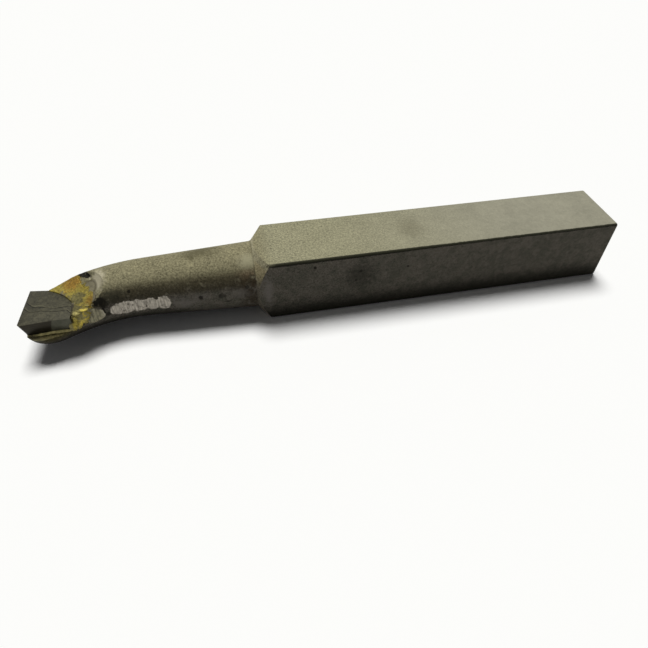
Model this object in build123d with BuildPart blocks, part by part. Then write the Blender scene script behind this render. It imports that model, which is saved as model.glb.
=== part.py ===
from build123d import *
import os
from math import cos, radians, sin, tan

os.makedirs("parts", exist_ok=True)

# A boring tool: a square shank, a turned round neck cranked to the side, and a carbide tip brazed
# into a seat on its nose. +X runs along the shank to its back end, the cutting corner is at the
# -X end towards -Y, +Z is up. The origin is the centre of the shank's bottom face. Millimetres.

# Square shank
shank_side = 16.0
shank_length = 86.0
shank_edge_radius = 0.6
shank_end_radius = 0.5

# Turned shoulder, a cone that leaves a curve on each flat of the shank
shoulder_angle = 50.0
shoulder_blend_radius = 1.0

# Round neck, tapering towards the nose and cranked sideways
neck_drop = 0.2
neck_root_diameter = 15.5
neck_crank_diameter = 13.3
neck_nose_diameter = 11.7
neck_straight_length = 27.6
crank_radius = 35.5
crank_angle = 32.0

# Head: past the crank the round neck bellies out, then closes in to a squarer end under the tip.
# The end leans back below the tip, and its underside rises to clear the wall of a blind bore.
head_lap = 0.6
head_lap_step = 0.1
head_end_width = 10.7
head_end_floor_rise = 3.5
head_end_corner_radius = 1.6
head_belly_reach = 3.7
head_belly_width = 11.7
head_belly_floor_rise = 0.35
head_belly_corner_radius = 3.9
head_height = 11.0
head_front_ledge = 0.1
head_belly_ledge = 1.4
head_end_ledge = 0.1

# Carbide tip: its cutting corner is measured from the end of the crank and from the neck's axis
tip_reach = 6.9
tip_side_offset = 5.3
rake_above_axis = 2.45
tip_thickness = 3.5
tip_end_edge = 11.0
tip_end_angle = 5.0
tip_end_relief = 13.0
tip_side_edge = 10.4
tip_ground_edge = 6.5
tip_ground_angle = 4.0
tip_side_relief = 7.0
tip_corner_radius = 0.5
tip_heel_width = 5.3
tip_shoulder_width = 3.3
tip_back_angle = 8.0
tip_back_radius = 13.0

# Milled shelf behind the tip, ending in the run-out of the side cutter
shelf_below_rake = 0.15
cutter_radius = 14.5
cutter_heading = 38.0
runout_start = 0.15

# Brazed joint: filler under and behind the tip, and a film that ran out over the steel. The film's
# edge is given from the tip's back heel, from the back of the neck round to its front.
braze_gap = 0.2
braze_film = 0.25
film_edge = ((-0.5, 8.0), (1.6, 5.0), (2.6, 2.8), (5.3, 0.0), (4.5, -2.2), (3.1, -3.4), (2.8, -7.0))
bead_width = 0.6
bead_height = 0.5
bead_slope = 42.0

# Touches of the wheel that dressed the forging flash off the front of the neck: how far along the
# neck's axis from the shoulder each one lies, how wide it is and how deep
flash_touches = (
    (24.2, 2.6, 0.18),
    (27.1, 2.9, 0.13),
    (30.3, 2.9, 0.13),
    (34.9, 3.5, 0.14),
    (41.6, 3.4, 0.22),
)
flash_tilt = 3.0

# Nick across the top of the run-out, measured from the cutter's stop along and across its heading
nick_along = 8.4
nick_across = 0.9
nick_radius = 0.7
nick_length = 3.4
nick_depth = 0.45

# Places that follow from the sizes above
axis_z = shank_side / 2 - neck_drop
shoulder_x = -shank_length / 2
crank_start_x = shoulder_x - neck_straight_length
crank_end_x = crank_start_x - crank_radius * sin(radians(crank_angle))
crank_end_y = -crank_radius * (1 - cos(radians(crank_angle)))
corner_x = crank_end_x - tip_reach
corner_y = crank_end_y - tip_side_offset
rake_z = axis_z + rake_above_axis
seat_z = rake_z - tip_thickness - braze_gap
shelf_z = rake_z - shelf_below_rake
clear = 2 * shank_side


def heading(angle):
    """Level unit vector at an angle from +X towards +Y."""
    return Vector(cos(radians(angle)), sin(radians(angle)), 0)


def tip_corners(drop, grow=0.0):
    """Corners of the tip, drop below the rake face, with its back edges grown outwards by grow.

    They run from the point where the round back meets the straight back edge, round the back end
    of the end edge, the cutting corner, the end of the ground flank and the front heel, to the
    back heel.
    """
    corner = Vector(
        corner_x + drop * tan(radians(tip_end_relief)),
        corner_y + drop * tan(radians(tip_side_relief)),
    )
    back_end = corner + (corner_y + tip_end_edge - corner.Y + grow) * heading(90 - tip_end_angle)
    round_end = back_end + (corner_x + tip_shoulder_width - corner.X) * heading(-tip_back_angle)
    ground_end = corner + (corner_x + tip_ground_edge - corner.X) * heading(tip_ground_angle)
    heel_x = corner_x + tip_side_edge + grow
    return [
        round_end,
        back_end,
        corner,
        ground_end,
        Vector(heel_x, ground_end.Y),
        Vector(heel_x, corner_y + tip_heel_width + grow),
    ]


def draw_tip_outline(drop, grow=0.0):
    """The tip's outline: straight edges, and a large radius on the corner that sits in the seat."""
    corners = tip_corners(drop, grow)
    Polyline(*corners)
    RadiusArc(corners[-1], corners[0], -(tip_back_radius + grow))


def draw_seat_outline():
    """The tip's seat: it follows the tip's back a braze gap away, and opens to front and end."""
    round_end, back_end, corner, ground_end, front_heel, back_heel = tip_corners(0, braze_gap)
    Polyline(
        round_end,
        round_end - clear * heading(-tip_back_angle),
        (corner_x - clear, corner_y - clear),
        (back_heel.X, corner_y - clear),
        back_heel,
    )
    RadiusArc(back_heel, round_end, -(tip_back_radius + braze_gap))


# The side cutter runs level across the nose and stops at this point, short of the neck
cutter_stop = Vector(crank_end_x, crank_end_y) + runout_start * heading(cutter_heading)
cutter_plane = Plane(
    cutter_stop, x_dir=heading(cutter_heading), z_dir=heading(cutter_heading - 90)
)


def cutter_sweep(floor_z):
    """What the side cutter takes away: level from the nose, then rising on its own radius."""
    arc_end = (cutter_radius, floor_z + cutter_radius)
    with BuildPart() as sweep_part:
        with BuildSketch(cutter_plane):
            with BuildLine():
                RadiusArc((0, floor_z), arc_end, -cutter_radius)
                Polyline(arc_end, (arc_end[0], clear), (-clear, clear), (-clear, floor_z), (0, floor_z))
            make_face()
        extrude(amount=clear, both=True)
    return sweep_part.part


shelf_cut = cutter_sweep(shelf_z)
film_cut = cutter_sweep(shelf_z + braze_film)

# Neck's centre line from the shoulder to the end of the crank
with BuildLine() as neck_line:
    straight = Line((shoulder_x, 0, axis_z), (crank_start_x, 0, axis_z))
    crank = JernArc(
        start=straight @ 1, tangent=straight % 1, radius=crank_radius, arc_size=crank_angle
    )

# Nose before it is milled: the cranked neck, and the head lofted on from it
end_edge = heading(90 - tip_end_angle)
end_flank = cos(radians(tip_end_relief)) * heading(180 - tip_end_angle)
end_flank -= Vector(0, 0, sin(radians(tip_end_relief)))
flank_corner = tip_corners(tip_thickness)[2] + Vector(-head_end_ledge, 0, seat_z)
nose_floor_z = axis_z - neck_nose_diameter / 2


def draw_head_section(width, floor_rise, corner_radius, ledge):
    """Section of the head in the plane of the tip's end flank, from its front ledge backwards."""
    floor_drop = (seat_z - nose_floor_z - floor_rise) / cos(radians(tip_end_relief))
    with Locations((width / 2 - ledge, floor_drop - head_height / 2)):
        RectangleRounded(width, head_height, corner_radius)


with BuildPart() as nose_blank:
    with BuildSketch(crank ^ 0) as crank_section:
        Circle(neck_crank_diameter / 2)
    with BuildSketch(crank ^ 1) as nose_section:
        Circle(neck_nose_diameter / 2)
    sweep([crank_section.sketch, nose_section.sketch], path=crank, multisection=True)

    lap_start = crank @ 1 - head_lap * (crank % 1)
    with BuildSketch(Plane(lap_start, x_dir=(0, 0, -1), z_dir=crank % 1)) as lap_section:
        Circle(neck_nose_diameter / 2 - head_lap_step)
    belly_centre = flank_corner - head_belly_reach * end_flank
    with BuildSketch(Plane(belly_centre, x_dir=end_edge, z_dir=end_flank)) as belly_section:
        draw_head_section(
            head_belly_width, head_belly_floor_rise, head_belly_corner_radius, head_belly_ledge
        )
    with BuildSketch(Plane(flank_corner, x_dir=end_edge, z_dir=end_flank)) as end_section:
        draw_head_section(
            head_end_width, head_end_floor_rise, head_end_corner_radius, head_front_ledge
        )
    loft([lap_section.sketch, belly_section.sketch, end_section.sketch])

# Carbide tip
with BuildPart() as carbide_tip:
    with BuildSketch(Plane.XY.offset(rake_z)):
        with BuildLine():
            draw_tip_outline(0)
        make_face()
    with BuildSketch(Plane.XY.offset(rake_z - tip_thickness)):
        with BuildLine():
            draw_tip_outline(tip_thickness)
        make_face()
    loft()
    corner_edge = carbide_tip.edges().sort_by_distance((corner_x, corner_y, rake_z - tip_thickness / 2))
    fillet(corner_edge[0], radius=tip_corner_radius)

# Each touch of the dressing wheel is a shallow upright hollow in the front of the neck
with BuildPart() as flash_wheels:
    taper = (neck_root_diameter - neck_crank_diameter) / neck_straight_length / 2
    for distance, width, depth in flash_touches:
        station = neck_line.wire().position_at(distance, position_mode=PositionMode.LENGTH)
        along = neck_line.wire().tangent_at(distance, position_mode=PositionMode.LENGTH)
        front = Vector(-along.Y, along.X, 0)
        wheel_radius = width**2 / 8 / depth
        neck_radius = neck_root_diameter / 2 - taper * distance
        wheel_centre = station + (neck_radius - depth + wheel_radius) * front
        wheel_axis = Vector(0, 0, 1) - tan(radians(flash_tilt)) * front
        with Locations(Plane(wheel_centre, x_dir=along, z_dir=wheel_axis)):
            Cylinder(wheel_radius, shank_side)

# Holder: one forging, turned at the neck, then milled for the tip and dressed
with BuildPart() as holder:
    with BuildSketch(Plane((crank_start_x, 0, shank_side / 2), x_dir=(0, 1, 0), z_dir=(1, 0, 0))):
        RectangleRounded(shank_side, shank_side, shank_edge_radius)
    extrude(amount=neck_straight_length + shank_length)

    # The turned profile takes the square bar down to the shoulder cone and the tapered neck
    root_radius = neck_root_diameter / 2
    slope = tan(radians(shoulder_angle))
    cone_foot_x = shoulder_x - (shank_side / 2**0.5 - root_radius) / slope
    cone_top_x = cone_foot_x + (shank_side - root_radius) / slope
    with BuildSketch(Plane((0, 0, axis_z), x_dir=(1, 0, 0), z_dir=(0, -1, 0))) as turned_profile:
        Polygon(
            (crank_start_x, 0),
            (crank_start_x, neck_crank_diameter / 2),
            (cone_foot_x, root_radius),
            (cone_top_x, shank_side),
            (shank_length, shank_side),
            (shank_length, 0),
            align=None,
        )
        cone_foot = turned_profile.vertices().sort_by_distance((cone_foot_x, 0, axis_z + root_radius))
        fillet(cone_foot[0], radius=shoulder_blend_radius)
    revolve(axis=Axis((0, 0, axis_z), (1, 0, 0)), mode=Mode.INTERSECT)
    fillet(holder.faces().sort_by(Axis.X)[-1].edges(), radius=shank_end_radius)
    add(nose_blank.part)

    # Shelf and run-out behind the tip, then the tip's seat
    add(shelf_cut, mode=Mode.SUBTRACT)
    with BuildSketch(Plane.XY.offset(seat_z)):
        with BuildLine():
            draw_seat_outline()
        make_face()
    extrude(amount=clear, mode=Mode.SUBTRACT)

    add(flash_wheels.part, mode=Mode.SUBTRACT)

    # Nick across the top of the run-out
    nick_rise = cutter_radius - (cutter_radius**2 - nick_along**2) ** 0.5
    nick_place = (
        cutter_stop
        + nick_along * heading(cutter_heading)
        + nick_across * heading(cutter_heading + 90)
        + Vector(0, 0, shelf_z + nick_rise + nick_radius - nick_depth)
    )
    with Locations(Plane(nick_place, x_dir=(0, 0, 1), z_dir=heading(cutter_heading + 90))):
        Cylinder(nick_radius, nick_length, mode=Mode.SUBTRACT)
        with Locations((0, 0, nick_length / 2), (0, 0, -nick_length / 2)):
            Sphere(nick_radius, mode=Mode.SUBTRACT)

# Braze: it fills the seat round the tip, stands as a bead along the tip's lower front edge, and
# covers the milled steel behind the tip with a film
with BuildPart() as braze:
    with BuildSketch(Plane.XY.offset(seat_z)):
        with BuildLine():
            draw_tip_outline(tip_thickness, grow=braze_gap)
        make_face()
    extrude(amount=rake_z - seat_z)

    low_corner, low_ground_end, low_heel = tip_corners(tip_thickness)[2:5]
    bead_reach = Vector(0, bead_width)
    with BuildSketch(Plane.XY.offset(seat_z)):
        Polygon(
            low_corner - bead_reach,
            low_ground_end - bead_reach,
            low_heel - bead_reach,
            low_heel + bead_reach,
            low_corner + bead_reach,
            align=None,
        )
    extrude(amount=bead_height, taper=bead_slope)

    heel = tip_corners(0)[-1]
    film_points = [heel + Vector(*point) for point in film_edge]
    with BuildSketch(Plane.XY.offset(seat_z)):
        with BuildLine():
            Spline(*film_points)
            Polyline(film_points[-1], tip_corners(0)[-2], tip_corners(0)[0], film_points[0])
        make_face()
    extrude(amount=clear / 2)

    add(nose_blank.part, mode=Mode.INTERSECT)
    add(film_cut, mode=Mode.SUBTRACT)
    add(flash_wheels.part, mode=Mode.SUBTRACT)
    add(holder.part, mode=Mode.SUBTRACT)
    add(carbide_tip.part, mode=Mode.SUBTRACT)
    with BuildSketch(Plane.XY.offset(rake_z)):
        with BuildLine():
            draw_tip_outline(0)
        make_face()
    extrude(amount=clear, mode=Mode.SUBTRACT)

holder.part.label = "holder"
carbide_tip.part.label = "carbide_tip"
braze.part.label = "braze"
export_step(holder.part, "parts/holder.step")
export_step(carbide_tip.part, "parts/carbide_tip.step")
export_step(braze.part, "parts/braze.step")
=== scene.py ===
from functools import reduce
from math import cos, radians, sin, sqrt, tan

import bpy
from mathutils import Matrix, Vector


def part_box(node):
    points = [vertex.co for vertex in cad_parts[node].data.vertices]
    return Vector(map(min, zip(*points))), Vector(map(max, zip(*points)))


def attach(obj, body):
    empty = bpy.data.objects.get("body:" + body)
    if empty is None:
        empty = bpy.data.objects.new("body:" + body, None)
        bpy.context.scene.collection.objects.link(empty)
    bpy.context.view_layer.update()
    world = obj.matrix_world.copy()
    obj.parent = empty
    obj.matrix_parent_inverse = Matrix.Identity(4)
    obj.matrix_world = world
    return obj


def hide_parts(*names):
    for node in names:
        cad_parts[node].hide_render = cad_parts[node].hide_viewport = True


# A brazed boring tool: a blasted steel holder, a carbide tip, and the brass that holds it.
# The frame and every piece are in metres. Surface patterns are laid out in millimetres.
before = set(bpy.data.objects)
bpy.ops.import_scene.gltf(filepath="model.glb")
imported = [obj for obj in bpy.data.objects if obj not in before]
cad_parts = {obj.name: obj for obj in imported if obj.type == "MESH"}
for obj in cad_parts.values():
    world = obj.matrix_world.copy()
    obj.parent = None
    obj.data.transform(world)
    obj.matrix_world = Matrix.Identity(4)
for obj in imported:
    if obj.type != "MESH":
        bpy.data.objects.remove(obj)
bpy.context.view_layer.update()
holder_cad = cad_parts["holder"]
tip_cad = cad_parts["carbide_tip"]
braze_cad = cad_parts["braze"]
MM = 0.001

# Shank, from the frame
shank_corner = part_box("holder")[1] / MM
SHANK_SIDE = shank_corner.z
SHOULDER_X = -shank_corner.x

# Neck: a turned cone at its root, a straight stretch, then the crank
SHOULDER_ANGLE = radians(50)
NECK_DROP = 0.2
NECK_LENGTH = 27.6
NECK_ROOT_RADIUS = 7.75
NECK_CRANK_RADIUS = 6.65
CRANK_RADIUS = 35.5
CRANK_ANGLE = radians(32)
AXIS_Z = SHANK_SIDE / 2 - NECK_DROP
NECK_TAPER = (NECK_ROOT_RADIUS - NECK_CRANK_RADIUS) / NECK_LENGTH
CONE_FOOT_X = SHOULDER_X - (SHANK_SIDE / sqrt(2) - NECK_ROOT_RADIUS) / tan(SHOULDER_ANGLE)

# Touches of the dressing wheel on the front of the neck: how far along its axis, width and depth
FLASH_TOUCHES = (
    (24.2, 2.6, 0.18),
    (27.1, 2.9, 0.13),
    (30.3, 2.9, 0.13),
    (34.9, 3.5, 0.14),
    (41.6, 3.4, 0.22),
)
FLASH_TILT = radians(3)


def neck_station(distance):
    """Place on the neck's axis at a distance from the shoulder, and the way to the front from there."""
    turned = max(distance - NECK_LENGTH, 0) / CRANK_RADIUS
    place = Vector((
        SHOULDER_X - min(distance, NECK_LENGTH) - CRANK_RADIUS * sin(turned),
        -CRANK_RADIUS * (1 - cos(turned)),
        AXIS_Z,
    ))
    return place, Vector((sin(turned), -cos(turned), 0))


# Tip: its cutting corner, measured from the end of the crank, its back heel and its seat
TIP_FROM_CRANK = Vector((-6.9, -5.3, 2.45))
TIP_SIDE_EDGE = 10.4
GROUND_FLANK = 6.5
TIP_THICKNESS = 3.5
BRAZE_GAP = 0.2
TIP_CORNER = neck_station(NECK_LENGTH + CRANK_RADIUS * CRANK_ANGLE)[0] + TIP_FROM_CRANK
TIP_HEEL_X = TIP_CORNER.x + TIP_SIDE_EDGE
SEAT_Z = TIP_CORNER.z - TIP_THICKNESS - BRAZE_GAP

# Foot of the tip's front flank, at the cutting corner, and how it runs back from there
FLANK_FOOT_Y = -10.9
FLANK_FOOT_SLOPE = 0.135


class Field:
    """A number or a colour that varies over a surface, with the usual operators on numbers."""

    def __init__(self, nodes, socket):
        self.nodes = nodes
        self.socket = socket

    def _math(self, operation, *terms):
        return self.nodes.add("ShaderNodeMath", {"operation": operation}, dict(enumerate(terms)))

    def __add__(self, other):
        return self._math("ADD", self, other)

    __radd__ = __add__

    def __sub__(self, other):
        return self._math("SUBTRACT", self, other)

    def __rsub__(self, other):
        return self._math("SUBTRACT", other, self)

    def __mul__(self, other):
        return self._math("MULTIPLY", self, other)

    __rmul__ = __mul__

    def __abs__(self):
        return self._math("ABSOLUTE", self)

    def lower(self, other):
        """The lower of two fields."""
        return self._math("MINIMUM", self, other)

    def higher(self, other):
        """The higher of two fields."""
        return self._math("MAXIMUM", self, other)

    def rise(self, start, end):
        """0 where the field is at start, 1 where it is at end, and a smooth step between."""
        return self.nodes.add(
            "ShaderNodeMapRange",
            {"interpolation_type": "SMOOTHSTEP"},
            {"Value": self, "From Min": start, "From Max": end, "To Min": 0.0, "To Max": 1.0},
        )

    def fall(self, start, end):
        """1 where the field is at start, 0 where it is at end."""
        return 1 - self.rise(start, end)

    def between(self, start, full, waning, end):
        """0 up to start, 1 from full to waning, and 0 again from end."""
        return self.rise(start, full) * self.fall(waning, end)


class Nodes:
    """The nodes of a material or of the world."""

    def __init__(self, tree):
        self.tree = tree

    def add(self, kind, settings=None, inputs=None, output=0):
        """Adds a node: its settings first, then the values or links of its sockets."""
        node = self.tree.nodes.new(kind)
        for setting, value in (settings or {}).items():
            setattr(node, setting, value)
        for socket, value in (inputs or {}).items():
            self.feed(node.inputs[socket], value)
        return Field(self, node.outputs[output])

    def feed(self, socket, value):
        """Links a field to a socket, or writes a plain value there."""
        if isinstance(value, Field):
            self.tree.links.new(value.socket, socket)
        elif socket.type == "RGBA":
            socket.default_value = (*value, 1)
        else:
            socket.default_value = value

    def seen(self):
        """1 for the eye, also in a reflection or through glass, and 0 for the light on the object."""
        rays = ("Is Camera Ray", "Is Glossy Ray", "Is Transmission Ray")
        return reduce(Field.higher, [self.add("ShaderNodeLightPath", output=ray) for ray in rays])


class Finish(Nodes):
    """A material built up in code: its shader, the fields that feed it and the colour laid on so far."""

    def __init__(self, name, **constants):
        self.material = bpy.data.materials.new(name)
        self.material.use_nodes = True
        super().__init__(self.material.node_tree)
        self.shader = self.tree.nodes["Principled BSDF"]
        for socket, value in constants.items():
            self.shader.inputs[socket.replace("_", " ")].default_value = value
        place = self.add("ShaderNodeTexCoord", output="Object")
        self.place = self.vector("SCALE", place, Scale=1 / MM)
        self.x, self.y, self.z = self.axes(self.place)
        facing = self.add("ShaderNodeTexCoord", output="Normal")
        self.facing_x, self.facing_y, self.facing_z = self.axes(facing)
        self.ragged = self.noise(0.9, detail=5, roughness=0.7, shift=21) - 0.5
        self.colour = None

    def axes(self, vector):
        """The three numbers of a vector."""
        parts = self.add("ShaderNodeSeparateXYZ", inputs={0: vector})
        return [Field(self, part) for part in parts.socket.node.outputs]

    def vector(self, operation, *terms, output=0, **inputs):
        """Maths on places and directions."""
        inputs = {**dict(enumerate(terms)), **inputs}
        return self.add("ShaderNodeVectorMath", {"operation": operation}, inputs, output)

    def noise(self, grain, detail=4.0, roughness=0.55, distortion=0.0, stretch=(1, 1, 1), shift=0.0):
        """Cloudy noise from 0 to 1, whose grain is its size in millimetres along each axis."""
        spread = self.vector("MULTIPLY", self.place, tuple(1 / (grain * side) for side in stretch))
        spread = self.vector("ADD", spread, (shift, shift, shift))
        inputs = {"Vector": spread, "Scale": 1.0, "Detail": detail, "Roughness": roughness}
        return self.add("ShaderNodeTexNoise", inputs={**inputs, "Distortion": distortion})

    def cells(self, grain):
        """Distance to points scattered a grain apart."""
        inputs = {"Vector": self.place, "Scale": 1 / grain}
        return self.add("ShaderNodeTexVoronoi", {"feature": "F1"}, inputs, "Distance")

    def apart(self, centre, reach, stretch=(1, 1, 1)):
        """How far a place is from a centre, as a share of reach times the stretch along each axis."""
        away = self.vector("SUBTRACT", self.place, centre)
        away = self.vector("DIVIDE", away, tuple(reach * side for side in stretch))
        return self.vector("LENGTH", away, output="Value")

    def patch(self, centre, reach, stretch=(1, 1, 1), ragged=1.6, soft=0.3):
        """1 over a patch round a centre and 0 past its reach, with a soft and ragged edge."""
        apart = self.apart(centre, reach, stretch) + ragged * self.ragged
        return apart.fall(1 - soft, 1)

    def patches(self, places, **edge):
        """1 over any of several patches, each with its centre, its reach and its stretch."""
        return reduce(Field.higher, [self.patch(*place, **edge) for place in places])

    def mix(self, factor, first, second, blend="MIX"):
        """Goes from the first colour to the second as the factor goes from 0 to 1."""
        settings = {"data_type": "RGBA", "blend_type": blend, "clamp_factor": True}
        return self.add("ShaderNodeMix", settings, {"Factor": factor, 6: first, 7: second}, 2)

    def tone(self, colour, shade, darkest=0.1):
        """A colour made lighter and darker by a shade, which is kept above the darkest one."""
        shade = self.add("ShaderNodeMath", {"operation": "MAXIMUM"}, {0: shade, 1: darkest})
        grey = self.add("ShaderNodeCombineColor", inputs={"Red": shade, "Green": shade, "Blue": shade})
        return self.mix(1.0, colour, grey, "MULTIPLY")

    def lay(self, cover, colour):
        """Lays a colour over the one that is there, as far as the cover goes from 0 to 1."""
        self.colour = self.mix(cover, self.colour, colour)

    def relief(self, height, depth):
        """Bump from a height field; depth is the height of 1 in millimetres."""
        inputs = {"Height": height, "Distance": depth * MM, "Strength": 1.0}
        return self.add("ShaderNodeBump", inputs=inputs)

    def wear(self, roughness, metallic, normal):
        """Puts the finished colour and the other fields on the shader."""
        fields = {"Base Color": self.colour, "Roughness": roughness, "Metallic": metallic, "Normal": normal}
        for socket, field in fields.items():
            self.feed(self.shader.inputs[socket], field)
        return self.material


# Brass: its colours, and its pools on the nose, each with its centre, its reach and its stretch
YELLOW_BRASS = (0.285, 0.226, 0.042)
OLIVE_BRASS = (0.135, 0.117, 0.04)
ORANGE_BRASS = (0.27, 0.157, 0.024)
BRASS_PIT = (0.045, 0.034, 0.012)
BRASS_POOLS = (
    ((-89.5, 0.4, 11.0), 2.6, (1.2, 1, 2)),
    ((-86.4, -0.4, 11.5), 2.6, (1, 1, 2)),
    ((-85.0, -3.4, 11.2), 2.9, (1, 1, 2)),
    ((-83.3, -6.0, 11.0), 2.4, (1, 1, 1.5)),
    ((-84.1, -8.6, 9.6), 2.35, (0.9, 1, 1.2)),
    ((-85.4, -9.6, 8.0), 1.6, (1, 1, 1.3)),
)
THIN_BRASS = (
    ((-84.9, -5.0, 10.9), 2.5, (1, 1, 1)),
    ((-85.0, -8.3, 10.2), 2.5, (0.8, 1, 1)),
)
THICK_BRASS = ((-86.2, -0.2, 11.6), 2.8, (1.2, 1, 1))
THICK_EDGE = ((-81.8, -6.3, 11.2), 1.6)

# Where it turns duller towards the front of the tip, and painted light: brighter down the front of the
# nose, which faces away from the lamp
DULL_BRASS_Y = (-6.5, -4.5)
PAINTED_LIGHT_BRASS_Y = (-9.2, -8.0)


def brass_cover(finish):
    """1 where brass lies on the nose, with a ragged edge."""
    return finish.patches(BRASS_POOLS, ragged=1.1, soft=0.12)


def brass_look(finish):
    """Colour and height of the brass: yellow, orange where it is thick, olive where thin, and pitted, with
    painted light down the front of the nose.
    """
    cloud = finish.noise(1.9, detail=4, distortion=0.7, shift=2)
    grain = finish.noise(0.5, detail=4, roughness=0.75, shift=4)
    fleck = finish.noise(0.28, detail=2, roughness=0.6, shift=13)
    pits = finish.cells(1.1).fall(0.1, 0.26) * finish.noise(1.5, shift=9).rise(0.48, 0.6)
    thin = finish.patches(THIN_BRASS, ragged=2.0, soft=0.7)
    thick = finish.patch(*THICK_BRASS, ragged=2.0, soft=0.7)
    thick = thick.higher(0.8 * finish.patch(*THICK_EDGE, ragged=2.5, soft=0.8))
    colour = finish.mix((cloud + 0.5 * thin).rise(0.5, 0.8), YELLOW_BRASS, OLIVE_BRASS)
    colour = finish.mix(thick, colour, ORANGE_BRASS)
    # Painted light down the front of the nose, which faces away from the lamp
    shade = 1 - 0.3 * finish.y.fall(*DULL_BRASS_Y) + 1.5 * finish.y.fall(*PAINTED_LIGHT_BRASS_Y)
    colour = finish.tone(colour, (2.4 * grain + 0.9 * fleck - 0.75) * shade)
    colour = finish.mix(0.85 * pits, colour, BRASS_PIT)
    return colour, 0.7 * grain + 0.7 * cloud - 0.8 * pits


# Steel all over, its scale, the brown band on the neck (partly painted shade), painted shade low on the
# sides, under the neck and along the edges, and the rust round the shoulder
GREY_STEEL = (0.287, 0.275, 0.208)
WARM_STEEL = (0.272, 0.258, 0.165)
NECK_STEEL = (0.225, 0.205, 0.122)
BROWN_SCALE = (0.252, 0.226, 0.184)
DARK_SCALE = (0.175, 0.166, 0.13)
# Painted shade: low on the sides, and under the neck
LOW_SIDE_PAINTED_SHADE = (0.012, 0.012, 0.008)
NECK_UNDERSIDE_PAINTED_SHADE = (0.01, 0.01, 0.007)
# Brown band on the neck, partly painted shade
BROWN_BAND_AND_SHADE = (0.055, 0.045, 0.026)
CONE_LOW = (0.27, 0.24, 0.185)
CONE_TAN = (0.37, 0.32, 0.19)
CONE_TOP = (0.37, 0.34, 0.22)
DARK_RUST = (0.06, 0.042, 0.024)
TAN_RUST = (0.25, 0.19, 0.115)
CONE_FOOT_LINE = (0.06, 0.053, 0.03)
# Painted shade along the long front edges of the shank
EDGE_PAINTED_SHADE = (0.015, 0.015, 0.008)

# Where these change into each other: along the tool, and up it
COARSE_GRAIN_X = (-50, 28)
GREY_STEEL_X = (-35, 25)
NECK_UNDERSIDE_SHADE_X = (-66, -56)
EDGE_SHADE_X = (-25, 5)
LOW_SIDE_SHADE_Z = (0.5, 6.5)
CONE_TAN_Z = (9.5, 12.8)
CONE_TOP_Z = (14.4, 15.0)
TAN_RUST_Z = (11.5, 13.5)
RUST_END_Z = (12.4, 14.0)
FOOT_LINE_Z = (12.5, 15.0)

# Marks on the steel, among them painted shadow and painted highlights
# Painted shadow in the nick, the pocket and the gaps
PAINTED_SHADOW = (0.011, 0.010, 0.007)
PIT = (0.016, 0.014, 0.009)
OLIVE_STAIN = (0.085, 0.076, 0.04)
SCALE_BLOTCH = (0.03, 0.031, 0.022)
# Painted highlight
PAINTED_HIGHLIGHT = (0.46, 0.42, 0.3)
PALE_SCALE = (0.36, 0.325, 0.29)
CLEAN_STEEL = (0.33, 0.31, 0.2)

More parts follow.
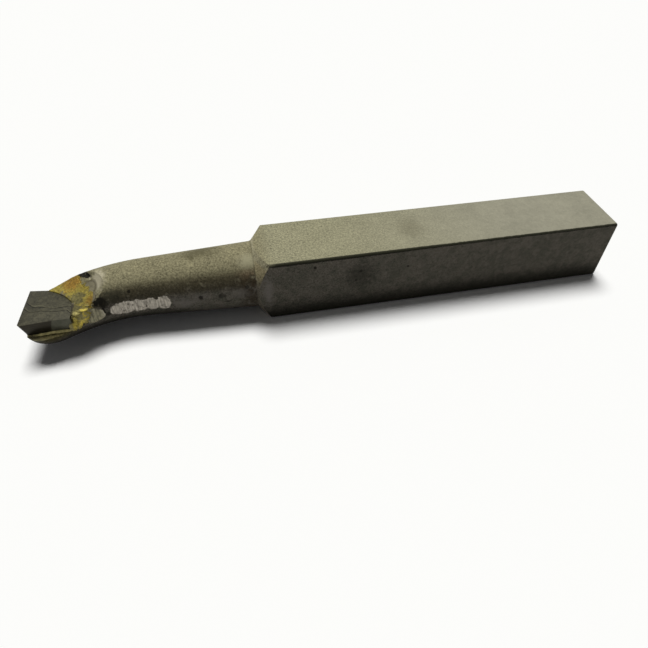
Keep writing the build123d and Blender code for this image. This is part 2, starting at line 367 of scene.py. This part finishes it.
# Where they lie: colour, strength, centre, reach, stretch along each axis, and how soft the edge is
STEEL_MARKS = (
    (SCALE_BLOTCH, 0.6, (-77.4, -6.3, 10.9), 3.8, (1.3, 1, 0.8), 0.9),
    (SCALE_BLOTCH, 0.25, (-69.5, -6.4, 10.6), 4.0, (1.3, 1, 0.7), 0.9),
    (PALE_SCALE, 0.8, (-43.6, -8, 8.5), 2.8, (0.6, 1, 2.2), 0.9),
    (PALE_SCALE, 0.65, (-62.5, -7.2, 7.4), 3.0, (1.4, 1, 0.9), 0.9),
    (CLEAN_STEEL, 0.85, (-47.6, -3.4, 14.6), 2.2, (1.3, 1.2, 1), 0.9),
    (PALE_SCALE, 0.35, (-49.8, -7.5, 8.6), 2.4, (1.4, 1, 0.9), 0.9),
    (PALE_SCALE, 0.4, (-58.8, -7.1, 8.9), 1.8, (1.4, 1, 0.9), 0.9),
    # Painted highlights: a lit band on the run-out, and a glint by the nick
    (PAINTED_HIGHLIGHT, 0.95, (-79.9, -2.3, 13.3), 2.9, (0.75, 1.3, 1.2), 0.8),
    (PAINTED_HIGHLIGHT, 0.8, (-82.0, -0.5, 12.6), 0.55, (1, 1, 1), 0.4),
    # Painted shadow: in the nick, in the pocket where the run-out meets the neck, and in the gap between
    # two touches
    (PAINTED_SHADOW, 0.98, (-84.0, 1.1, 12.5), 1.0, (1.1, 0.9, 1), 0.3),
    (PAINTED_SHADOW, 0.98, (-82.8, 0.5, 12.5), 0.9, (1.1, 0.9, 1), 0.3),
    (PAINTED_SHADOW, 0.97, (-80.9, -7.1, 10.9), 0.75, (1.1, 1, 1), 0.4),
    (PAINTED_SHADOW, 0.95, (-80.0, -6.7, 10.9), 1.0, (1.1, 1, 1), 0.5),
    (PAINTED_SHADOW, 0.8, (-79.3, -6.8, 10.3), 1.5, (1, 1, 1.1), 0.7),
    (PAINTED_SHADOW, 0.8, (-79.6, -7.6, 8.6), 0.75, (0.7, 1, 2.4), 0.5),
    (PAINTED_SHADOW, 0.7, (-78.9, -7.4, 7.6), 0.9, (1, 1, 1), 0.6),
    (PIT, 0.95, (-74.6, -6.6, 7.8), 0.5, (0.7, 1, 1.5), 0.3),
    (PIT, 0.95, (-73.84, -5.47, 11.57), 0.42, (1, 1, 1), 0.3),
    (PIT, 0.85, (-58.8, -7.12, 8.5), 0.7, (1, 1, 1), 0.4),
    (PIT, 0.6, (-54.1, -7.33, 8.5), 1.0, (1.2, 1, 1), 0.6),
    (PIT, 0.6, (-53.0, -7.35, 6.7), 0.7, (1.5, 1, 0.7), 0.5),
    (PIT, 0.6, (-48.3, -7.26, 10.15), 0.6, (1, 1, 1), 0.5),
    (OLIVE_STAIN, 0.55, (-59.9, -0.5, 14.9), 1.0, (1, 1, 1), 0.6),
    (OLIVE_STAIN, 0.8, (-57.8, 1.8, 14.7), 4.5, (1.5, 1, 1), 0.9),
    (PIT, 0.9, (-32.8, -8, 13.9), 0.5, (1, 1, 1), 0.4),
    (PIT, 0.7, (-22.0, -8, 11.3), 0.45, (1, 1, 1), 0.4),
    (PIT, 0.7, (-10.5, -8, 11.0), 0.4, (1, 1, 1), 0.4),
    (PIT, 0.7, (-23.0, -8, 8.7), 0.5, (1, 1, 1), 0.4),
    (SCALE_BLOTCH, 0.55, (-22.0, -8, 10.0), 6.0, (1, 1, 1), 0.9),
    (OLIVE_STAIN, 0.3, (-8.0, 0.0, 16), 5.0, (1, 1.2, 1), 0.9),
)

# Stain of the furnace flux on the run-out
FLUX_STAIN = (-82.2, -3.1, 12.2)
FLUX_STAIN_REACH = 1.85
FLUX_GREY = (0.205, 0.185, 0.122)
FLUX_RIM = (0.06, 0.051, 0.032)

# Steel laid bare within reach of the dressing wheel's own surface, duller at the last touch
BARE_STEEL = (0.43, 0.392, 0.328)
DULL_BARE_STEEL = (0.27, 0.25, 0.165)
DULL_TOUCH_X = (-81, -78)
WHEEL_REACH = (0.015, 0.05)

# Front of the nose with its thin, dirty wash of brass, and the ledge under the tip
NOSE_FRONT = (-88.5, -10.6, 5.6)
NOSE_FRONT_REACH = (7.0, 3.0, 2.8)
DIRTY_WASH = (0.115, 0.098, 0.042)
LEDGE_RIM = (0.12, 0.102, 0.045)
LEDGE_RIM_Y = (-11.7, -11.1)
LEDGE_BRASS = (0.23, 0.2, 0.088)
GREY_WASH = (0.27, 0.245, 0.15)


class Forging(Finish):
    """The holder's steel: blasted, with scale on its sides, rust at its shoulder and bare where ground;
    painted shade and painted highlights are laid into its colour.
    """

    def __init__(self):
        super().__init__("blasted_steel", Specular_IOR_Level=0.05)
        self.blotch = self.noise(1.8, detail=5, distortion=0.5, shift=7)
        self.speck = self.noise(0.8, detail=3, roughness=0.65, shift=11)
        grain = self.noise(0.42, detail=3, roughness=0.8, shift=3)
        self.fine = (0.3 + 2.6 * self.x.fall(*COARSE_GRAIN_X)) * (grain - 0.5)
        self.on_shank = self.x.rise(SHOULDER_X - 3, SHOULDER_X + 2)

    def ground(self):
        """Colour all over: grey at the back end, warm along the shank, darker on the neck."""
        mottle = self.noise(7.0, detail=3)
        shank = self.mix(self.x.rise(*GREY_STEEL_X), WARM_STEEL, GREY_STEEL)
        shade = 0.48 + 0.36 * mottle + 0.28 * self.blotch + 0.32 * self.speck + self.fine
        self.colour = self.tone(self.mix(self.on_shank, NECK_STEEL, shank), shade)

    def scale(self):
        """Forging scale on the sides, partly painted shade; painted shade underneath the neck and darker
        towards the bottom of the sides; and a brown band where it starts on the neck, partly painted shade.
        """
        # The sides get forging scale, written darker than the top: partly painted shade
        side_scale_and_shade = self.facing_z.fall(0.2, 0.72)
        scale = self.mix(self.blotch.rise(0.35, 0.65), BROWN_SCALE, DARK_SCALE)
        self.lay(side_scale_and_shade, self.tone(scale, 0.55 + 0.9 * self.speck + self.fine))
        # Painted shade, darker towards the bottom of the sides
        self.lay(0.92 * self.z.fall(*LOW_SIDE_SHADE_Z) * side_scale_and_shade, LOW_SIDE_PAINTED_SHADE)
        # Painted shade on the downward faces of the neck
        downward = self.facing_z.fall(-0.6, -0.15)
        self.lay(0.95 * downward * self.x.fall(*NECK_UNDERSIDE_SHADE_X), NECK_UNDERSIDE_PAINTED_SHADE)
        # Brown band where the neck turns from the lamp: partly brown scale, partly painted shade
        band = self.facing_z.between(0.15, 0.42, 0.6, 0.85) * (1 - self.on_shank)
        band = band * (self.blotch + 0.5 * self.speck).rise(0.4, 0.75)
        self.lay(0.85 * band, self.tone(BROWN_BAND_AND_SHADE, 1 + self.fine))

    def rust(self):
        """Rust round the shoulder: tan on the cone, dark brown on the front of the neck beside it."""
        past_foot = self.x - CONE_FOOT_X
        cone = self.facing_x.fall(-0.55, -0.3) * past_foot.rise(-1.0, 0.0)
        cone_colour = self.mix(self.z.rise(*CONE_TOP_Z), CONE_TAN, CONE_TOP)
        cone_colour = self.mix(self.z.rise(*CONE_TAN_Z), CONE_LOW, cone_colour)
        self.lay(cone, self.tone(cone_colour, 0.7 + 0.6 * self.blotch + self.fine))
        front = self.facing_y.fall(-0.62, -0.1) * self.z.fall(*RUST_END_Z)
        rust = front * past_foot.between(-5.5, -1.5, -0.5, 0.2)
        rust = rust * (self.blotch + 0.4 * self.speck).rise(0.5, 0.75)
        rust_colour = self.mix(self.z.rise(*TAN_RUST_Z), DARK_RUST, TAN_RUST)
        self.lay(0.75 * rust, self.tone(rust_colour, 1 + self.fine))
        foot_line = abs(past_foot + 0.1).fall(0.05, 0.4) * self.z.rise(*FOOT_LINE_Z)
        self.lay(0.35 * foot_line, CONE_FOOT_LINE)

    def painted_edge_shade(self):
        """Lays painted shade along the long front edges of the shank, where the rounded edge turns from the
        light, and gives their cover.
        """
        inward = SHANK_SIDE / 2 - abs(self.y).lower(abs(self.z - SHANK_SIDE / 2))
        inward = inward - 0.5 * (self.speck - 0.5) - 0.2 * self.x.fall(*EDGE_SHADE_X)
        edges = inward.fall(0.35, 0.6) * self.on_shank * self.facing_y.fall(-0.2, 0.0)
        # Painted shade: a dark line along the front edges
        self.lay(0.95 * edges, EDGE_PAINTED_SHADE)
        return edges

    def marks(self):
        """Single stains, pits and clean places, painted shadow and painted highlights, and the flux stain:
        a grey disc with a dark rim.
        """
        for mark, strength, centre, reach, stretch, soft in STEEL_MARKS:
            self.lay(strength * self.patch(centre, reach, stretch, soft=soft), mark)
        apart = self.apart(FLUX_STAIN, FLUX_STAIN_REACH) + 0.35 * self.ragged
        self.lay(apart.fall(0.86, 0.96), self.tone(FLUX_GREY, 0.4 + 1.2 * self.speck))
        self.lay(0.55 * apart.between(0.72, 0.94, 0.98, 1.22), FLUX_RIM)

    def wheel_touch(self, distance, width, depth):
        """1 on one touch of the dressing wheel, worked out from the wheel's own place."""
        station, front = neck_station(distance)
        neck_radius = NECK_ROOT_RADIUS - NECK_TAPER * distance
        wheel_radius = width**2 / 8 / depth
        hub = station + (neck_radius - depth + wheel_radius) * front
        axle = (Vector((0, 0, 1)) - tan(FLASH_TILT) * front).normalized()
        from_axle = self.vector("CROSS_PRODUCT", self.vector("SUBTRACT", self.place, hub), axle)
        off_wheel = abs(self.vector("LENGTH", from_axle, output="Value") - wheel_radius)
        near = self.apart(station + neck_radius * front, 1.5 * width).fall(0.9, 1.0)
        return (off_wheel + 0.4 * (self.ragged - 0.03)).fall(*WHEEL_REACH) * near

    def wheel_touches(self):
        """Lays the bare steel under the wheel, and gives its cover and the wheel's lines across it."""
        touched = reduce(Field.higher, [self.wheel_touch(*touch) for touch in FLASH_TOUCHES])
        lines = self.noise(0.3, detail=3, roughness=0.7, stretch=(1, 1, 12), shift=5)
        bare = self.mix(self.x.fall(*DULL_TOUCH_X), BARE_STEEL, DULL_BARE_STEEL)
        self.lay(touched, self.tone(bare, 2.6 * lines + 1.0 * self.speck - 0.85, darkest=0.15))
        return touched, lines

    def washed_brass(self):
        """Lays the brass washed over the nose, thin and dirty on its front, and gives it and its lumps."""
        dirty = self.apart(NOSE_FRONT, 1, NOSE_FRONT_REACH).fall(0.6, 1.0)
        ledge = self.mix(self.y.rise(*LEDGE_RIM_Y), LEDGE_RIM, LEDGE_BRASS)
        dirt = self.mix(self.z.rise(SEAT_Z - 0.25, SEAT_Z - 0.05), DIRTY_WASH, ledge)
        dirt = self.tone(dirt, 1.6 * self.speck + 0.7 * self.fine + 0.1)
        self.lay(0.95 * dirty * self.facing_z.rise(-0.5, -0.1), dirt)
        cover = brass_cover(self)
        brass, lumps = brass_look(self)
        washed = self.mix(0.75 * self.speck.rise(0.42, 0.58), self.tone(brass, 1.35), GREY_WASH)
        self.lay(cover, self.mix(self.facing_y.fall(-0.75, -0.45), brass, washed))
        return cover, lumps


def blasted_steel():
    """The holder's steel with all its layers."""
    steel = Forging()
    steel.ground()
    steel.scale()
    steel.rust()
    edges = steel.painted_edge_shade()
    steel.marks()
    touched, lines = steel.wheel_touches()
    cover, lumps = steel.washed_brass()
    cut = touched * (1 - cover)
    roughness = 0.64 - 0.2 * cut - 0.15 * edges - 0.1 * cover
    metallic = 0.12 + 0.4 * cut + 0.25 * cover
    blasted = 0.5 * steel.fine + 0.8 * steel.speck + 0.9 * steel.blotch
    height = blasted * (1 - cut) + 0.5 * lines * cut + 2 * lumps * cover
    return steel.wear(roughness, metallic, steel.relief(height, 0.05))


# Carbide: its colours, how far behind the cutting corner each flow line runs and how far they wander
CARBIDE_FACE = (0.041, 0.038, 0.023)
CARBIDE_FLANK = (0.085, 0.085, 0.062)
GROUND_CARBIDE = (0.03, 0.026, 0.018)
FLOW_LINES = (5.2, 6.7)
FLOW_WANDER = 5.0


def sintered_carbide():
    """Carbide: dark grey from the furnace, with flow lines on its face, and smooth where it is ground."""
    carbide = Finish("sintered_carbide", Specular_IOR_Level=0.15)
    swirl = carbide.noise(5.0, detail=1, roughness=0.4, distortion=0.5, shift=1)
    cloud = carbide.noise(1.6, detail=4, distortion=0.6, shift=6)
    fine = carbide.noise(0.5, detail=3, roughness=0.75)
    grinding = carbide.noise(0.15, detail=2, stretch=(9, 9, 1))

    # Flow lines: each one a small step, with a painted highlight on one side and painted shade on the other
    drift = carbide.y - TIP_CORNER.y + 0.25 * (carbide.x - TIP_CORNER.x)
    drift = drift + FLOW_WANDER * (swirl - 0.5) + 0.6 * (cloud - 0.5)
    steps = sum(drift.rise(line - 0.1, line + 0.1) for line in FLOW_LINES)
    light = sum(drift.between(line, line + 0.15, line + 0.15, line + 0.4) for line in FLOW_LINES)
    dark = sum(drift.between(line - 0.35, line - 0.1, line - 0.1, line) for line in FLOW_LINES)
    shade = 1.0 + 1.2 * (cloud - 0.5) + 3.0 * (fine - 0.5) + 0.8 * (light - dark)
    carbide.colour = carbide.tone(CARBIDE_FACE, shade, darkest=0.2)

    # Flanks: ground on the end, and on the side as far back as the grinding wheel went
    flank = carbide.facing_y.fall(-0.85, -0.55)
    behind = carbide.x - TIP_CORNER.x - GROUND_FLANK - 0.35 * (carbide.z - TIP_CORNER.z)
    ground = flank * (behind + 0.5 * carbide.ragged).fall(0.18, 0.42)
    ground = ground.higher(carbide.facing_x.fall(-0.85, -0.55))
    carbide.lay(flank, carbide.tone(CARBIDE_FLANK, 0.3 + 0.7 * cloud + 0.7 * fine))
    carbide.lay(ground, carbide.tone(GROUND_CARBIDE, 0.5 + grinding))

    face = 3 * steps * carbide.facing_z.rise(0.5, 0.8)
    height = (face + 0.4 * cloud + 0.4 * fine) * (1 - ground) + 0.15 * grinding * ground
    metallic = 0.3 + 0.35 * flank.higher(ground)
    return carbide.wear(0.55 - 0.15 * ground, metallic, carbide.relief(height, 0.05))


# Brass filler: the bead under the tip's front flank, painted lighter at its foot, the soot at its edge, and
# painted shade in the gap and at the bead's end
BEAD_TOP = (0.36, 0.315, 0.135)
# Painted light at the bead's foot
BEAD_FOOT_PAINTED_LIGHT = (0.45, 0.39, 0.17)
SOOTY_FILLER = (0.12, 0.105, 0.068)
# Painted shade in the gap behind the heel, and at the bead's end under the tip's corner
FILLER_PAINTED_SHADE = (0.016, 0.013, 0.006)
BEAD_END_SHADE = ((-94.2, -11.3, 6.7), 1.7)
BEAD_Z = (8.6, 9.2)
GAP_Y = (-6.4, -5.8)
GAP_Z = (8.2, 8.8)


def brass_filler():
    """Brass filler, worn through to sooty steel along its ragged edge."""
    brass = Finish("brass_filler", Specular_IOR_Level=0.15)
    brass.colour, lumps = brass_look(brass)
    speck = brass.noise(0.8, detail=3, roughness=0.65, shift=11)
    behind_heel = brass.x - TIP_HEEL_X
    brass.lay(1 - brass_cover(brass), SOOTY_FILLER)

    # Bead under the tip's flank, painted lighter towards its foot, which turns under away from the light
    bead = brass.z.fall(*BEAD_Z) * behind_heel.fall(-0.3, 0.3)
    outward = FLANK_FOOT_Y + FLANK_FOOT_SLOPE * (brass.x - TIP_CORNER.x) - brass.y
    bead_colour = brass.mix(outward.rise(0.2, 0.6), BEAD_TOP, BEAD_FOOT_PAINTED_LIGHT)
    brass.lay(bead, brass.tone(bead_colour, 1.8 * speck + 0.05, darkest=0.15))

    # Painted shade in the gap behind the tip's heel, and at the end of the bead under the tip's corner
    gap_shade = (behind_heel + 0.6 * (speck - 0.5)).fall(0.3, 0.7)
    gap_shade = gap_shade * brass.y.fall(*GAP_Y) * brass.z.rise(*GAP_Z)
    end_shade = brass.patch(*BEAD_END_SHADE, ragged=2.0, soft=0.7)
    brass.lay(0.9 * gap_shade.higher(end_shade), FILLER_PAINTED_SHADE)
    return brass.wear(0.52, 0.3, brass.relief(lumps * (1 - 0.85 * bead), 0.12))


def choose(*pieces):
    """Selects these pieces and nothing else; operators work on the last one."""
    bpy.ops.object.select_all(action="DESELECT")
    for piece in pieces:
        piece.select_set(True)
        bpy.context.view_layer.objects.active = piece


def put_on(piece, material):
    """Gives a piece one material."""
    piece.data.materials.clear()
    piece.data.materials.append(material)


# Sizes for the two modelled pieces: the filler's lumps are a grain and a height each
MERGE = 0.001
EDGE_BREAK = 0.05
FLAT = radians(1)
SHARP = radians(30)
FILLER_VOXEL = 0.1
FILLER_LUMPS = ((2.2, 0.2), (0.8, 0.07))

# Filler that ran round the tip's front heel and down the front of the nose: centre and radii
FILLER_BLOBS = (
    ((-86.0, -10.1, 7.6), (0.8, 0.35, 1.1)),
    ((-85.2, -9.75, 8.6), (0.7, 0.3, 1.3)),
    ((-84.9, -8.9, 10.1), (1.1, 0.7, 0.36)),
    ((-83.6, -8.2, 10.5), (1.5, 0.8, 0.3)),
    ((-82.7, -7.4, 10.75), (1.0, 0.6, 0.3)),
)


def copy_of(node, name):
    """A new piece with a copy of a CAD node's mesh, its loose triangles joined up into whole faces."""
    piece = bpy.data.objects.new(name, node.data.copy())
    bpy.context.scene.collection.objects.link(piece)
    choose(piece)
    bpy.ops.object.mode_set(mode="EDIT")
    bpy.ops.mesh.select_all(action="SELECT")
    bpy.ops.mesh.remove_doubles(threshold=MERGE * MM)
    bpy.ops.mesh.customdata_custom_splitnormals_clear()
    bpy.ops.object.mode_set(mode="OBJECT")
    return piece


def shape(piece, kind, **settings):
    """Changes a piece's mesh by a modifier, which is applied."""
    modifier = piece.modifiers.new(kind.lower(), kind)
    for setting, value in settings.items():
        setattr(modifier, setting, value)
    choose(piece)
    bpy.ops.object.modifier_apply(modifier=modifier.name)


def largest_part(piece):
    """The largest of a piece's loose parts; the others are deleted."""
    name = piece.name
    choose(piece)
    bpy.ops.object.mode_set(mode="EDIT")
    bpy.ops.mesh.select_all(action="SELECT")
    bpy.ops.mesh.separate(type="LOOSE")
    bpy.ops.object.mode_set(mode="OBJECT")
    *crumbs, largest = sorted(bpy.context.selected_objects, key=lambda part: len(part.data.vertices))
    if crumbs:
        choose(*crumbs)
        bpy.ops.object.delete()
    largest.name = name
    return largest


def clouds(name, grain):
    """A cloudy height field for a Displace modifier, its grain in millimetres."""
    field = bpy.data.textures.new(name, "CLOUDS")
    field.noise_scale = grain * MM
    field.noise_depth = 2
    return field


def filler_blob(centre, radii):
    """One blob of filler that ran out."""
    place = Vector(centre) * MM
    bpy.ops.mesh.primitive_ico_sphere_add(subdivisions=4, radius=MM, location=place, scale=radii)
    return bpy.context.object


def carbide_plate():
    """The tip, with its sharp edges just broken."""
    plate = copy_of(tip_cad, "carbide_plate")
    bpy.ops.object.mode_set(mode="EDIT")
    bpy.ops.mesh.dissolve_limited(angle_limit=FLAT)
    bpy.ops.object.mode_set(mode="OBJECT")
    shape(plate, "BEVEL", width=EDGE_BREAK * MM, segments=2, limit_method="ANGLE", angle_limit=SHARP)
    bpy.ops.object.shade_smooth_by_angle(angle=SHARP)
    put_on(plate, sintered_carbide())
    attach(plate, "root")
    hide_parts("carbide_tip")


def brass_joint():
    """The filler, lumpy as it froze: the joint's solid and the blobs that ran out, fused and swollen."""
    joint = copy_of(braze_cad, "brass_joint")
    blobs = [filler_blob(centre, radii) for centre, radii in FILLER_BLOBS]
    choose(*blobs, joint)
    bpy.ops.object.join()
    shape(joint, "REMESH", mode="VOXEL", voxel_size=FILLER_VOXEL * MM)
    joint = largest_part(joint)
    for grain, height in FILLER_LUMPS:
        lumps = clouds(f"filler_lumps_{grain}", grain)
        shape(joint, "DISPLACE", texture=lumps, texture_coords="LOCAL", strength=height * MM, mid_level=0.5)
    shape(joint, "SMOOTH", factor=0.5, iterations=4)
    bpy.ops.object.shade_smooth()
    put_on(joint, brass_filler())
    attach(joint, "root")
    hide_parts("braze")


put_on(holder_cad, blasted_steel())
carbide_plate()
brass_joint()

# Floor and world: pale to the eye and in reflections, plain and dim for the light on the object
FLOOR_SIZE = 6.0
FLOOR_LIGHT = 0.16
WORLD_LIGHT = 0.07
PALE = 0.98


def plain_floor():
    """The pale floor that the tool lies on, at the height of the shank's bottom face."""
    floor = Finish("plain_floor", Roughness=1.0, Specular_IOR_Level=0.0)
    floor.feed(floor.shader.inputs["Base Color"], floor.mix(floor.seen(), (FLOOR_LIGHT,) * 3, (PALE,) * 3))
    bpy.ops.object.select_all(action="DESELECT")
    bpy.ops.mesh.primitive_plane_add(size=FLOOR_SIZE, location=(0, 0, 0))
    plane = bpy.context.object
    plane.name = "floor"
    put_on(plane, floor.material)


def studio_world():
    """The surroundings."""
    world = bpy.data.worlds.new("studio")
    bpy.context.scene.world = world
    world.use_nodes = True
    nodes = Nodes(world.node_tree)
    backdrop = world.node_tree.nodes["Background"]
    nodes.feed(backdrop.inputs["Color"], (1, 1, 1))
    nodes.feed(backdrop.inputs["Strength"], WORLD_LIGHT + (PALE - WORLD_LIGHT) * nodes.seen())


def soft_lamp(name, azimuth, elevation, strength, spread, tint):
    """A far, soft lamp that shines on the tool from an azimuth (0 is the front) and an elevation."""
    light = bpy.data.lights.new(name, "SUN")
    light.energy = strength
    light.angle = radians(spread)
    light.color = tint
    lamp = bpy.data.objects.new(name, light)
    bpy.context.scene.collection.objects.link(lamp)
    lamp.rotation_euler = (radians(90 - elevation), 0, radians(azimuth))


plain_floor()
studio_world()
soft_lamp("window", azimuth=170, elevation=72, strength=3.07, spread=25, tint=(1.0, 1.0, 0.98))

# Camera, solved from the photograph: place, directions and focal length
IMAGE_SIZE = 648
FOCAL_PIXELS = 527.1
SENSOR_WIDTH = 36.0
CAMERA_PLACE = Vector((-51.5, -97.7, 89.7)) * MM
CAMERA_AZIMUTH = radians(-13.23)
CAMERA_ELEVATION = radians(45.65)
CAMERA_ROLL = radians(1.56)


def solved_camera():
    """The camera that sees the tool as the photograph shows it."""
    forward = Vector((
        -sin(CAMERA_AZIMUTH) * cos(CAMERA_ELEVATION),
        cos(CAMERA_AZIMUTH) * cos(CAMERA_ELEVATION),
        -sin(CAMERA_ELEVATION),
    ))
    level_right = Vector((cos(CAMERA_AZIMUTH), sin(CAMERA_AZIMUTH), 0))
    upright = level_right.cross(forward)
    right = cos(CAMERA_ROLL) * level_right + sin(CAMERA_ROLL) * upright
    up = -sin(CAMERA_ROLL) * level_right + cos(CAMERA_ROLL) * upright
    lens = bpy.data.cameras.new("camera")
    lens.sensor_width = SENSOR_WIDTH
    lens.lens = FOCAL_PIXELS * SENSOR_WIDTH / IMAGE_SIZE
    lens.clip_start = MM
    camera = bpy.data.objects.new("camera", lens)
    bpy.context.scene.collection.objects.link(camera)
    turn = Matrix((right, up, -forward)).transposed().to_4x4()
    camera.matrix_world = Matrix.Translation(CAMERA_PLACE) @ turn
    bpy.context.scene.camera = camera


solved_camera()
bpy.context.scene.view_settings.view_transform = "Standard"
